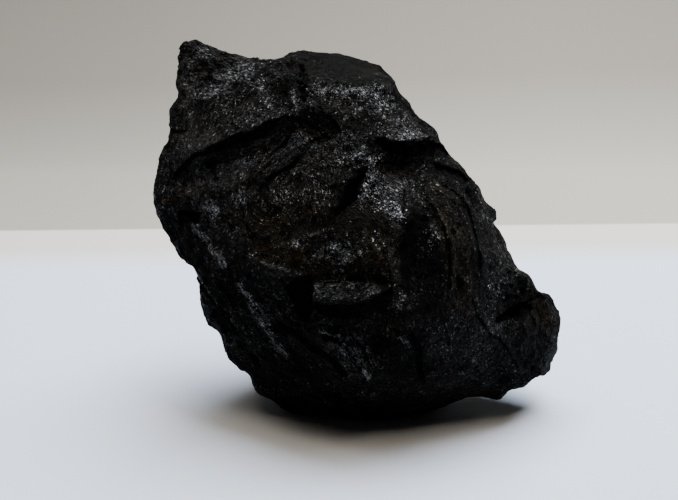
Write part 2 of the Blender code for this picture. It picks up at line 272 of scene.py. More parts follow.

# Lips under which the rock steps back: a line of the front view in its frame's pixels, left to right or
# downward, how deep the step is in mm, how many pixels the surface takes to come forward again, how far
# the lip itself stands out in mm, and how dark the painted shade under it is
ledges = {
    "longLedge": ([(167, 181), (177, 171), (189, 158), (196, 152), (207, 151), (211, 147), (235, 134),
        (244, 133), (255, 130), (264, 123), (285, 115), (296, 118), (309, 121)],
        [0.8, 0.8, 0.8, 0.8, 0.8, 1.1, 1.3, 1.3, 1.3, 1.3, 0.9, 0.5, 0.3],
        [7, 7, 8, 6, 6, 12, 15, 14, 14, 15, 9, 3, 2], 0.5, 1.0),
    "longLedgeEcho": ([(204, 162), (211, 159), (218, 161)], 1.0, 13, 0.1, 0.9),
    "diagonalStep": ([(316, 106), (322, 109), (330, 115), (337, 124), (341, 133)], 0.7, [2, 5, 6, 5, 2],
        0.4, 1.0),
    "alcove": ([(372, 141), (382, 137), (392, 141), (408, 141), (426, 139), (440, 144), (452, 155)], 2.4,
        [6, 13, 18, 23, 23, 20, 9], 0.4, 1.0),
    "alcoveTail": ([(434, 164), (446, 167), (458, 171), (470, 180)], 1.4, 13, 0.3, 0.9),
    "cleft": ([(370, 168), (364, 177), (358, 187), (356, 199), (346, 208), (335, 218)], 2.6,
        [8, 15, 18, 19, 14, 4], 0.3, 1.0),
    "panelCrease": ([(264, 179), (272, 173), (281, 168), (291, 165), (300, 156)], 1.2, [3, 6, 7, 6, 3],
        0.5, 0.9),
    "cheekCrease": ([(303, 146), (315, 139), (328, 136)], 0.8, 5, 0.3, 0.5),
    "shelfWedge": ([(312, 276), (313, 290), (312, 304), (308, 322)], 4.0, [25, 30, 27, 12], 0.0, 1.0),
    "wedgeRoof": ([(283, 287), (296, 279), (312, 275)], 3.0, 22, 0.2, 0.8),
    "underShelf": ([(311, 302), (330, 304), (350, 305), (368, 301), (382, 293), (393, 286)], 1.9,
        [16, 28, 30, 28, 28, 12], 0.3, 0.6),
    "rightRidge": ([(424, 196), (436, 211), (444, 228), (450, 243), (452, 268), (450, 292)], 0.5, 10, 0.7,
        0.0),
    "faceEnd": ([(420, 208), (414, 225), (409, 245), (408, 272), (411, 292)], -0.8, 12, 0.2, 0.9),
    "rightCrack": ([(463, 199), (469, 208), (473, 224), (477, 238), (480, 253), (482, 272)], 1.6,
        [8, 9, 8, 6, 5, 3], 0.25, 1.0),
    "thinDiagonal": ([(443, 184), (454, 192), (465, 201)], 0.6, 6, 0.3, 0.4),
    "seam": ([(176, 248), (188, 264), (199, 280), (213, 297), (229, 317), (240, 336), (254, 353),
        (264, 370)], 2.8, [6, 8, 8, 14, 14, 12, 10, 6], 0.5, 0.8),
    "leftFold": ([(262, 292), (278, 299), (284, 311), (293, 321), (303, 326)], 0.9, 9, 0.35, 0.5),
    "lowFold": ([(276, 319), (298, 331), (313, 343), (337, 360), (350, 378)], 2.0, 12, 0.4, 0.8),
    "chinFold": ([(320, 334), (339, 340), (350, 352), (360, 366), (370, 382)], 1.5, 10, 0.4, 0.5),
    "darkColumn": ([(411, 330), (420, 345), (423, 362), (421, 382)], 1.0, 10, 0.3, 0.8),
    "pitRoof": ([(493, 322), (503, 312), (514, 305), (526, 302), (534, 308)], 3.2, [4, 14, 20, 24, 14],
        0.2, 1.0),
    "kneeRidge": ([(473, 303), (484, 320), (492, 334), (505, 341), (511, 352), (518, 366)], -0.9, 14, 0.4,
        0.0),
    "knobEdge": ([(524, 296), (526, 307), (533, 320), (544, 335), (554, 344)], 0.5, 6, 0.2, 0.2),
    "leftSill": ([(177, 212), (190, 210), (202, 214)], 2.0, 17, 0.2, 1.0),
}

# Narrow cuts: a line, the depth in mm and the half width in pixels
grooves = {
    "kneeCrack": ([(472, 300), (478, 316), (490, 334), (501, 340), (506, 347), (512, 358), (518, 368)],
        0.7, 2.6),
    "footCrack": ([(412, 338), (417, 352), (419, 366), (423, 382)], 1.0, 3.0),
    "columnEdge": ([(424, 192), (436, 211), (445, 230), (449, 250), (450, 272), (447, 300)], 0.5, 2.4),
    "gullyCut": ([(301, 66), (303, 80), (302, 94), (305, 101)], 1.8, 5),
    "smallHole": ([(459, 276), (460, 292)], 1.3, 5),
    "knobCrackA": ([(525, 302), (539, 296), (545, 299), (554, 304)], 0.7, 3.2),
    "knobCrackB": ([(536, 308), (541, 318), (540, 328)], 0.4, 3),
    "brightFaceCrack": ([(404, 190), (405, 200), (403, 212)], 0.5, 3),
    "leftNotch": ([(166, 128), (176, 131), (186, 131)], 0.9, 4),
}

# Thin raised lines: a line, the height in mm and the half width in pixels
ribs = {
    "chinRib": ([(338, 338), (350, 349), (359, 362), (369, 379)], 1.1, 5),
    "scratch": ([(284, 244), (306, 237), (331, 228)], 0.4, 2.4),
    "brownRib": ([(254, 259), (268, 264), (284, 269), (302, 273)], 0.6, 3.5),
    "gullyRib": ([(291, 79), (293, 97), (297, 114)], 1.1, 6),
    "cheekLine": ([(199, 230), (213, 248), (222, 262), (243, 289), (257, 314), (268, 331), (285, 346),
        (296, 364)], 0.55, 4.5),
    "browBand": ([(308, 92), (330, 93), (360, 92), (392, 90)], 0.7, 7),
}


def pullOutline(points, normals):
    # moves square to the view line, so that only the outline changes
    forward, up = eyeAxes()
    spots = frontSpots(points)
    depth = (points - np.array(eye["place"])) @ forward
    perPixel = depth / (eye["lens"] / 36 * eye["frameSize"][0])
    move = np.zeros((len(points), 2))
    for spot, (right, down), radius in pulls:
        gap = np.linalg.norm(spots - np.array(spot, float), axis=1)
        share = 1 - smoothStep(0, radius, gap)
        move += share[:, None] * np.array((right, down))
    shift = move * perPixel[:, None]
    return points + shift[:, :1] * np.array((1.0, 0, 0)) - shift[:, 1:] * up


def alongLine(line, passed, values):
    # a value held at each point of a line, read where a share of its length is passed
    if not isinstance(values, (list, tuple)):
        return values
    runs = np.linalg.norm(np.diff(np.array(line, float), axis=0), axis=1)
    shares = np.concatenate(([0], np.cumsum(runs))) / runs.sum()
    return np.interp(passed, shares, values)


def underLip(points, line, reach, jitter):
    # how deep in under its lip a point lies, from 1 to 0, how near above it, and the line's fade at its ends
    below, passed = lineDistance(frontSpots(points), line)
    below = below + jitter
    reach = alongLine(line, passed, reach)
    fade = smoothStep(0, 0.06, passed) * smoothStep(1, 0.94, passed)
    under = np.where(below > 0, np.clip(1 - below / reach, 0, 1), 0)
    above = np.where(below <= 0, np.clip(1 + below / 5, 0, 1), 0)
    return under * fade, above * fade


def lipJitter(points):
    return waveNoise(points, 1.6, 11) * 0.7 + waveNoise(points, 4.5, 12) * 1.0


def carveLedges(points, normals):
    forward, _ = eyeAxes()
    seen = facing(points, normals)
    jitter = lipJitter(points)
    rough = 1 + 0.35 * waveNoise(points, 3.0, 13)
    for line, depth, reach, crest, _ in ledges.values():
        under, above = underLip(points, line, reach, jitter)
        _, passed = lineDistance(frontSpots(points), line)
        depth = alongLine(line, passed, depth)
        shift = (under ** 1.5 * rough * depth - above * crest) * seen
        points = points + shift[:, None] * forward
    return points


def lipShade(points):
    # painted shade under the lips: it rises towards the lips from below, and the colour is painted black
    # where it passes a limit
    jitter = lipJitter(points)
    total = np.zeros(len(points))
    for line, _, reach, _, shade in ledges.values():
        under, _ = underLip(points, line, reach, jitter)
        total = np.maximum(total, under * shade)
    return total


def carveGrooves(points, normals):
    spots = frontSpots(points)
    seen = facing(points, normals)
    jitter = waveNoise(points, 2.5, 21) * 1.2
    for line, depth, half in grooves.values():
        gap, passed = lineDistance(spots, line)
        width = half * (0.45 + 1.6 * passed * (1 - passed) * 1.4)
        cut = np.clip(1 - np.abs(gap + jitter) / width, 0, 1)
        points = points - (cut * seen * depth)[:, None] * normals
    for line, height, half in ribs.values():
        gap, _ = lineDistance(spots, line)
        rise = np.clip(1 - np.abs(gap + jitter * 0.6) / half, 0, 1)
        points = points + (rise * seen * height)[:, None] * normals
    return points


# Lips on the sides that the front does not show, where slow waves change sign: each wave's size and the
# step's depth in mm, and its seed; and how much the wave rises before the step has run out
hiddenLips = {"waves": [(26.0, 1.8, 81), (15.0, 1.0, 82)], "fall": 0.3}


def hiddenUnder(points):
    # how deep the surface lies under such a lip, in mm
    total = np.zeros(len(points))
    for size, depth, seed in hiddenLips["waves"]:
        wave = waveNoise(points, size, seed) + 0.07 * waveNoise(points, 2.6, seed)
        under = np.where(wave > 0, np.clip(1 - wave / hiddenLips["fall"], 0, 1), 0)
        total = np.maximum(total, under * depth * smoothStep(-0.2, 0.4, waveNoise(points, 14.0, seed + 1)))
    return total


def carveHidden(points, normals):
    return points - (hiddenUnder(points) * (1 - facing(points, normals)))[:, None] * normals


# Broken facets: the size of a cell in mm, how steeply its face leans, and the seed
facetLayers = [
    {"cell": 9.0, "lean": 0.035, "seed": 5},
    {"cell": 4.2, "lean": 0.11, "seed": 6},
    {"cell": 2.0, "lean": 0.17, "seed": 7},
    {"cell": 1.1, "lean": 0.20, "seed": 8},
]

# Broader lumps on the horn and on the small knobs
lumpLayers = [
    {"cell": 3.4, "lean": 0.30, "seed": 9, "oval": ((214, 74), (40, 22), -8)},
    {"cell": 2.6, "lean": 0.30, "seed": 10, "oval": ((516, 284), (20, 22), 20)},
    {"cell": 1.6, "lean": 0.45, "seed": 14, "oval": ((380, 198), (30, 18), 42)},
    {"cell": 1.5, "lean": 0.40, "seed": 15, "oval": ((340, 252), (34, 14), 5)},
    {"cell": 1.6, "lean": 0.40, "seed": 16, "oval": ((350, 92), (50, 9), 2)},
]


def searchTree(places):
    tree = kdtree.KDTree(len(places))
    for index, place in enumerate(places):
        tree.insert(place, index)
    tree.balance()
    return tree


def scatter(points, cell, rng):
    # random middles of cells of a size in mm, all around the points
    low, high = points.min(0) - cell, points.max(0) + cell
    count = int(np.prod((high - low) / cell) * 1.2)
    return rng.uniform(low, high, (count, 3))


def facetHeights(points, layer):
    # leaning flats that meet along creases, with no step between them
    rng = np.random.default_rng(layer["seed"])
    middles = scatter(points, layer["cell"], rng)
    leans = rng.normal(0, layer["lean"], middles.shape)
    tree = searchTree(middles)
    hits = np.array([[hit[1] for hit in tree.find_n(place, 5)] for place in points])
    offset = points[:, None, :] - middles[hits]
    heights = (offset * leans[hits]).sum(2) + (offset ** 2).sum(2) * (2 * layer["lean"] / layer["cell"])
    lowest = heights.min(1)
    return lowest - lowest.mean()


# Where the surface is calmer than elsewhere: middle, radii and turn in the front view, and how much
calmSpots = {
    "topFacet": ((335, 66), (52, 17), 4, 0.75),
    "brightFace": ((392, 198), (36, 32), 35, 0.5),
    "brownDome": ((360, 222), (27, 18), -10, 0.9),
    "mantleSlab": ((218, 118), (44, 26), -20, 0.5),
    "leftPanel": ((228, 172), (38, 16), -30, 0.4),
    "rightFace": ((470, 300), (50, 80), 20, 0.35),
    "underside": ((380, 395), (150, 26), 0, 0.4),
}


def calm(spots):
    strength = np.ones(len(spots))
    for middle, radii, turn, amount in calmSpots.values():
        strength *= 1 - amount * blob(spots, middle, radii, turn)
    return strength


def rimCalm(points, normals):
    # relief is lower where the surface turns edge on to the eye, which keeps the outline plain
    away = np.array(eye["place"]) - points
    away /= np.linalg.norm(away, axis=1)[:, None]
    return 0.15 + 0.85 * smoothStep(0.0, 0.55, np.abs((away * normals).sum(1)))


def breakFaces(points, normals):
    spots = frontSpots(points)
    strength = (1 - (1 - calm(spots)) * facing(points, normals)) * rimCalm(points, broadNormals)
    for layer in facetLayers:
        points = points + (facetHeights(points, layer) * strength)[:, None] * normals
    for layer in lumpLayers:
        share = blob(spots, *layer["oval"], 0.8) * facing(points, normals) * rimCalm(points, broadNormals)
        near = share > 0.01
        points[near] += (facetHeights(points[near], layer) * share[near])[:, None] * normals[near]
    return points


# Fields of fine strokes: an oval of the front view (middle, radii, turn), the way they run in degrees below
# level, and their width, length and height in mm
strokeFields = {
    "mantleFur": ((222, 118), (46, 26), -20, 122, 0.9, 4.5, 0.75),
    "mantleLeft": ((180, 125), (18, 34), 0, 112, 1.2, 6, 0.3),
    "mantleLow": ((200, 146), (36, 14), -35, 140, 0.8, 1.6, 0.2),
    "gullySteps": ((274, 107), (18, 14), 0, 8, 0.8, 5, 0.5),
    "hornFace": ((215, 70), (40, 26), 0, 20, 2.2, 4, 0.5),
    "topFacet": ((336, 66), (50, 16), 5, 10, 1.0, 2, 0.15),
    "secondFacet": ((375, 115), (50, 22), 25, 35, 0.9, 2.4, 0.25),
    "cheekFur": ((278, 163), (36, 26), -35, 136, 1.1, 7, 0.85),
    "leftPanel": ((222, 178), (34, 14), -30, 150, 0.9, 3, 0.35),
    "browFur": ((316, 130), (26, 22), 0, 48, 1.0, 5, 0.6),
    "cheek": ((346, 154), (32, 18), 0, 20, 1.1, 2.2, 0.7),
    "brownBelt": ((295, 254), (48, 22), 0, 160, 0.9, 3, 0.45),
    "sparkleBelt": ((340, 253), (34, 13), 0, 10, 1.1, 2.4, 0.7),
    "shelfTop": ((346, 290), (40, 12), -4, 175, 0.9, 4, 0.5),
    "brightFace": ((385, 200), (34, 26), 35, 40, 1.3, 3.5, 0.6),
    "rightFace": ((462, 300), (42, 92), 10, 78, 1.0, 4.5, 0.45),
    "rightFoot": ((505, 362), (46, 32), 20, 50, 1.4, 5, 0.5),
    "roughPit": ((512, 288), (18, 24), 20, 30, 1.5, 2.2, 1.1),
    "valley": ((425, 262), (20, 48), 0, 60, 1.2, 2.6, 0.6),
    "leftFlank": ((208, 262), (24, 60), -32, 56, 1.2, 7, 0.6),
    "leftCheek": ((218, 208), (40, 22), 0, 70, 1.4, 3, 0.9),
    "lowLeft": ((268, 345), (60, 48), 40, 48, 1.2, 8, 0.75),
    "lowMiddle": ((380, 360), (60, 38), 0, 62, 1.3, 6, 0.6),
    "underSeam": ((228, 342), (18, 40), -35, 50, 1.8, 4, 0.8),
}

# Strokes that fan out from a point of the front view, distances in px and angles clockwise from right
fan = {"middle": (322, 262), "near": 34, "far": 98, "from": 196, "to": 288, "count": 34, "length": 26,
       "height": 0.6}

# Everywhere else strokes run in patches, each its own way
patch = {"size": 13.0, "width": 1.3, "length": 6.0, "height": 0.55, "share": 0.3, "seed": 61}


def stretch(points, along, width, length):
    # coordinates in which strokes that run along a direction are round and one unit wide
    run = (points * along).sum(1)[:, None] * along
    return (points - run) / width + run / length


def patchSpace(points):
    rng = np.random.default_rng(patch["seed"])
    middles = scatter(points, patch["size"], rng)
    runs = rng.normal(0, 1, middles.shape)
    runs /= np.linalg.norm(runs, axis=1)[:, None]
    tree = searchTree(middles)
    hits = [tree.find_n(place, 2) for place in points]
    nearest = np.array([pair[0][1] for pair in hits])
    margin = np.array([pair[1][2] - pair[0][2] for pair in hits])
    return stretch(points, runs[nearest], patch["width"], patch["length"]), smoothStep(0, 1.5, margin)


def strokeSpace(points, normals):
    # for each point the stretched coordinates of its strokes, and the strokes' height in mm
    spots = frontSpots(points)
    seen = facing(points, normals)
    wander = np.stack((waveNoise(points, 4.0, 31), waveNoise(points, 4.0, 32)), 1) * 5
    _, up = eyeAxes()
    space, clear = patchSpace(points)
    spaces, shares, heights = [space], [patch["share"] * clear], [patch["height"]]
    for middle, radii, turn, run, width, length, rise in strokeFields.values():
        angle = math.radians(run)
        along = np.array((math.cos(angle), 0, 0)) - math.sin(angle) * up
        spaces.append(stretch(points, along, width, length))
        shares.append(blob(spots + wander, middle, radii, turn, 0.7) * seen)
        heights.append(rise)
    offset = spots - np.array(fan["middle"])
    reach = np.hypot(offset[:, 0], offset[:, 1])
    angles = np.degrees(np.arctan2(offset[:, 1], offset[:, 0])) % 360
    turns = (angles - fan["from"]) / (fan["to"] - fan["from"])
    inside = smoothStep(-0.05, 0.1, turns) * smoothStep(1.05, 0.9, turns)
    ring = smoothStep(fan["near"] * 0.7, fan["near"] * 1.3, reach)
    ring = ring * smoothStep(fan["far"], fan["far"] * 0.7, reach)
    spaces.append(np.stack((turns * fan["count"], reach / fan["length"], np.zeros(len(points))), 1))
    shares.append(inside * ring * seen)
    heights.append(fan["height"])
    shares = np.array(shares)
    best = shares.argmax(0)
    ordered = np.sort(shares, axis=0)
    lead = smoothStep(0, 0.15, ordered[-1] - ordered[-2])
    chosen = np.array(spaces)[best, np.arange(len(points))]
    return chosen, lead * np.array(heights)[best]


def striate(points, normals):
    space, height = strokeSpace(points, broadNormals)
    broad = 0.4 - np.abs(waveNoise(space * 0.6, 1.0, 91)) * 1.1
    narrow = 0.4 - np.abs(waveNoise(space * 1.2, 1.0, 92)) * 1.1
    height = height * rimCalm(points, broadNormals)
    return points + ((broad * 0.9 + narrow * 0.5) * height)[:, None] * normals


chisel = {"count": 1500, "smallest": 1.2, "largest": 4.5, "shallow": 0.08, "deep": 0.4, "seed": 71}


def chiselEdges(points, normals):
    # knock flat chips off what stands out: points beyond a chip's plane are laid onto it
    rng = np.random.default_rng(chisel["seed"])
    tree = searchTree(points)
    picks = rng.choice(len(points), chisel["count"], replace=False)
    for pick in picks:
        size = rng.uniform(chisel["smallest"] ** 0.5, chisel["largest"] ** 0.5) ** 2
        near = np.array([hit[1] for hit in tree.find_range(points[pick], size * 1.6)])
        aim = normals[near].mean(0) + rng.normal(0, 0.35, 3)
        aim /= np.linalg.norm(aim)
        heights = (points[near] - points[pick]) @ aim
        top = heights.max() - rng.uniform(chisel["shallow"], chisel["deep"])
        over = np.clip(heights - top, 0, None)
        points[near] -= over[:, None] * aim
    return points


def keepInside(points):
    low, high = (np.array(corner) / mm for corner in cadBox)
    return np.clip(points, low, high)


def carve():
    points = readPoints(skin)
    sole = points[:, 2] < 0.02
    still = points.copy()
    for step in (pullOutline, breakFaces, carveLedges, carveGrooves, carveHidden, striate, chiselEdges):
        points = step(points, readNormals(skin))
        points[sole] = still[sole]
        writePoints(skin, keepInside(points))
        print("carved by", step.__name__)


carve()


grain = {"size": 0.0016, "height": 0.00016, "pitSize": 0.0035, "pitDepth": 0.00012}


def addGrain():
    # fine lumps and scattered pits, by two displaced noises
    activate(skin)
    above = skin.vertex_groups.new(name="aboveSole")
    above.add([v.index for v in skin.data.vertices if v.co.z > 0.0006], 1.0, "REPLACE")
    clouds = bpy.data.textures.new("fineLumps", "CLOUDS")
    clouds.noise_scale = grain["size"]
    clouds.noise_depth = 3
    cells = bpy.data.textures.new("pits", "VORONOI")
    cells.noise_scale = grain["pitSize"]
    for name, texture, height in (("lumps", clouds, grain["height"]), ("pits", cells, grain["pitDepth"])):
        modifier = skin.modifiers.new(name, "DISPLACE")
        modifier.texture = texture
        modifier.texture_coords = "LOCAL"
        modifier.strength = height
        modifier.mid_level = 0.5
        modifier.vertex_group = "aboveSole"
        bpy.ops.object.modifier_apply(modifier=name)
    writePoints(skin, keepInside(readPoints(skin)))
    bpy.ops.object.shade_smooth_by_angle(angle=math.radians(lump["shadeAngle"]))


addGrain()
print("grain added")


# How the surface varies from place to place is held on the skin as named attributes.

# Shiny, dull, dark and tinted spots of the front view, among them painted shade, painted light and painted
# sheen: middle, radii, turn, amount
glossSpots = [
    ((232, 76), (26, 12), -14, 0.24), ((214, 91), (16, 5), -12, 0.26), ((190, 78), (8, 16), 10, 0.2),
    ((203, 50), (14, 6), 25, 0.14), ((294, 97), (6, 19), 0, 0.58), ((274, 106), (16, 12), 0, 0.2),
    ((350, 92), (48, 6), 2, 0.72), ((312, 92), (9, 8), 0, 0.6), ((386, 100), (18, 16), 30, 0.35),
    ((392, 118), (42, 26), 30, 0.12), ((408, 136), (28, 6), -5, 0.3), ((362, 158), (28, 12), 10, 0.7),
    ((345, 148), (36, 18), 10, 0.36), ((250, 160), (20, 12), -20, 0.4),
    ((232, 172), (30, 12), -30, 0.3), ((300, 140), (20, 12), -20, 0.45),
    ((292, 172), (12, 8), -40, 0.4), ((374, 188), (20, 20), 30, 0.78), ((394, 208), (24, 11), 50, 0.7),
    ((398, 182), (18, 14), 20, 0.2), ((212, 208), (11, 13), 30, 0.6), ((240, 200), (7, 12), 20, 0.5),
    ((338, 252), (28, 11), 5, 0.75), ((300, 244), (16, 8), -15, 0.3), ((344, 288), (36, 9), -3, 1.3),
    ((290, 200), (34, 20), -10, 0.2), ((322, 188), (16, 20), 0, 0.25), ((430, 244), (13, 19), 0, 0.7),
    ((505, 285), (20, 16), 30, 0.3), ((400, 300), (14, 14), 0, 0.3), ((516, 269), (4, 3), 0, 0.7),
    ((514, 279), (3, 3), 0, 0.6), ((330, 262), (70, 40), 0, 0.06), ((404, 342), (8, 4), 45, 0.8),
]
dullSpots = [
    ((336, 64), (56, 18), 6, 1.0), ((360, 222), (27, 17), -10, 1.0), ((412, 104), (9, 38), -34, 0.9),
    ((540, 310), (20, 34), -10, 0.7), ((534, 276), (14, 9), 40, 0.9),
]
# Shiny and tinted lines: the line, its half width in pixels, amount
glossLines = [
    ([(198, 228), (204, 236), (213, 248), (220, 258), (224, 264)], 5, 0.75),
    ([(240, 286), (250, 300), (258, 314), (268, 331), (276, 345), (286, 356)], 5, 0.8),
    ([(248, 255), (262, 262), (278, 269), (300, 274)], 3, 0.5),
    ([(340, 342), (350, 352), (358, 362), (367, 376)], 5.5, 1.35),
    ([(324, 334), (345, 337), (364, 343)], 4, 0.55),
    ([(366, 172), (372, 184), (384, 194), (396, 206), (402, 218)], 7, 0.9),
]
brownLines = [
    ([(254, 252), (284, 244), (306, 237), (331, 228)], 2.2, 1.0),
    ([(434, 190), (449, 215), (460, 240), (465, 270), (463, 302)], 15, 0.5),
]
# Painted shade along the valley: the line, its half width in pixels, amount
valleyShadeBelts = [
    ([(410, 212), (422, 232), (434, 256), (436, 282), (430, 300)], 15, 0.75),
]
# Painted shade in fine cracks: the line, how far its slope reaches in pixels, and the slope's height at the
# line
crackShadeLines = [
    ([(424, 192), (436, 211), (445, 230), (449, 250), (450, 272), (447, 300)], 4, 0.42),
    ([(472, 300), (478, 316), (490, 334), (501, 340), (506, 347), (512, 358), (518, 368)], 4, 0.45),
    ([(412, 338), (417, 352), (419, 366), (423, 382)], 5, 0.55),
    ([(525, 302), (534, 299), (540, 295), (548, 299), (554, 304)], 4, 0.48),
    ([(536, 308), (541, 318), (540, 328)], 4, 0.42), ([(404, 190), (405, 200), (403, 212)], 4, 0.45),
    ([(276, 150), (287, 143), (288, 137)], 5, 0.55), ([(258, 190), (269, 182), (276, 176)], 4, 0.42),
    ([(207, 168), (215, 161)], 4, 0.5), ([(305, 121), (319, 132), (325, 137)], 4, 0.46),
    ([(251, 80), (258, 73), (267, 69)], 5, 0.5), ([(166, 128), (176, 131), (186, 131)], 4, 0.45),
    ([(307, 94), (318, 102), (326, 108)], 4, 0.5), ([(358, 157), (366, 156), (374, 152)], 4, 0.45),
    ([(345, 133), (352, 141), (356, 148)], 4, 0.42), ([(330, 70), (338, 76), (352, 78)], 4, 0.38),
    ([(206, 148), (222, 141), (236, 134)], 4, 0.42), ([(284, 60), (290, 68), (298, 76)], 5, 0.48),
    ([(290, 116), (300, 112), (312, 114)], 4, 0.42), ([(399, 148), (412, 152), (424, 150)], 4, 0.4),
    ([(436, 300), (444, 322), (450, 344)], 4, 0.4), ([(238, 262), (250, 282), (262, 300)], 4, 0.42),
    ([(212, 268), (226, 292), (238, 316), (252, 338)], 4, 0.44),
    ([(300, 345), (316, 362), (330, 384)], 4, 0.42), ([(382, 250), (390, 268), (392, 290)], 4, 0.4),
    ([(352, 336), (364, 352), (372, 370)], 4, 0.42),
]
# Spots where the colour is painted lighter, as light, and the sheen is stronger: middle, radii, turn, amount
satinAndLightSpots = [
    ((215, 118), (56, 32), -20, 0.9), ((300, 152), (66, 26), -8, 1.2), ((228, 172), (40, 20), -30, 0.5),
    ((375, 112), (60, 26), 25, 0.25), ((384, 194), (34, 30), 30, 1.0), ((195, 184), (26, 14), -35, 1.2),
    ((346, 289), (40, 10), -3, 1.2), ((222, 212), (34, 34), 0, 0.5), ((352, 357), (26, 34), -35, 2.0),
    ((350, 322), (44, 14), 0, 1.0), ((480, 342), (56, 40), 0, 0.8), ((168, 186), (10, 22), 0, 0.5),
    ((541, 318), (16, 22), 0, 0.6), ((248, 345), (22, 24), 40, 0.9), ((262, 320), (40, 40), 40, 0.4),
    ((360, 395), (110, 20), 0, 0.8), ((410, 150), (40, 14), 0, 0.5),
]
# Painted shade in the hollows, clefts, valley, gully, pit, seam and underside, and a darker tone on the top
# facet, the dome and the right strip: middle, radii, turn, amount
shadeAndDarkSpots = [
    ((350, 322), (44, 14), -4, 0.15), ((378, 344), (13, 11), 0, 0.8), ((349, 194), (9, 24), 32, 0.9),
    ((412, 250), (9, 40), 4, 0.95), ((426, 262), (15, 40), 0, 0.7), ((299, 80), (10, 20), 0, 0.88),
    ((380, 404), (170, 18), 0, 0.3), ((297, 372), (60, 26), 25, 0.3), ((514, 298), (18, 26), 0, 0.6),
    ((205, 320), (14, 40), -25, 0.6), ((176, 240), (12, 34), -25, 0.6), ((215, 178), (3, 6), 0, 0.8),
    ((460, 285), (4, 9), 0, 0.9), ((450, 172), (22, 8), 20, 0.8), ((409, 103), (9, 40), -36, 0.92),
    ((334, 65), (58, 19), 6, 0.96), ((360, 222), (27, 16), -10, 0.3), ((208, 68), (16, 4), -8, 0.5),
    ((532, 352), (22, 20), 0, 0.5),
]
# Painted sheen: spots where the colour is tinted bluish, as by a reflection: middle, radii, turn, amount
paintedBlueSheenSpots = [
    ((228, 82), (34, 16), -10, 0.8), ((530, 350), (32, 24), 20, 0.7), ((384, 194), (28, 22), 30, 0.5),
    ((345, 288), (36, 9), 0, 0.3), ((350, 92), (48, 7), 2, 0.4),
]
smoothSpots = [
    ((214, 74), (42, 24), -8, 1.0), ((200, 48), (14, 8), 20, 0.8), ((392, 122), (34, 18), 30, 0.3),
    ((541, 315), (18, 28), -10, 0.8), ((530, 350), (26, 24), 20, 0.6), ((394, 186), (16, 18), 0, 0.8),
]
brownSpots = [
    ((336, 64), (56, 18), 6, 0.6), ((360, 222), (28, 18), -10, 0.7), ((285, 212), (50, 28), -10, 0.8),
    ((286, 256), (50, 24), 5, 1.0), ((312, 271), (18, 9), 5, 1.0), ((412, 104), (9, 38), -34, 0.4),
    ((445, 240), (12, 56), -12, 0.6), ((540, 310), (22, 32), -10, 0.6), ((180, 196), (22, 8), -20, 0.5),
    ((375, 255), (40, 40), 0, 0.5), ((385, 310), (30, 30), 0, 0.4),
]


def sumSpots(spots, places):
    total = np.zeros(len(spots))
    for middle, radii, turn, amount in places:
        total = np.maximum(total, amount * blob(spots, middle, radii, turn, 0.8))
    return total


def sumLines(spots, lines):
    total = np.zeros(len(spots))
    for line, half, amount in lines:
        away, _ = lineDistance(spots, line)
        total = np.maximum(total, amount * smoothStep(half, half * 0.4, np.abs(away)))
    return total


def slopeLines(spots, lines):
    total = np.zeros(len(spots))
    for line, half, amount in lines:
        away, _ = lineDistance(spots, line)
        total = np.maximum(total, amount * np.clip(1 - np.abs(away) / half, 0, 1))
    return total


def addAttribute(name, values):
    layer = skin.data.attributes.new(name, "FLOAT", "POINT")
    layer.data.foreach_set("value", np.clip(values, 0, 1).astype(np.float32))


# The sides that the front does not show have their shine and brown in patches; and how far all marks waver
hiddenMarks = {"patch": 9.0, "gloss": 0.28, "brownPatch": 16.0, "brown": 0.3}
waver = {"size": 2.6, "reach": 4}


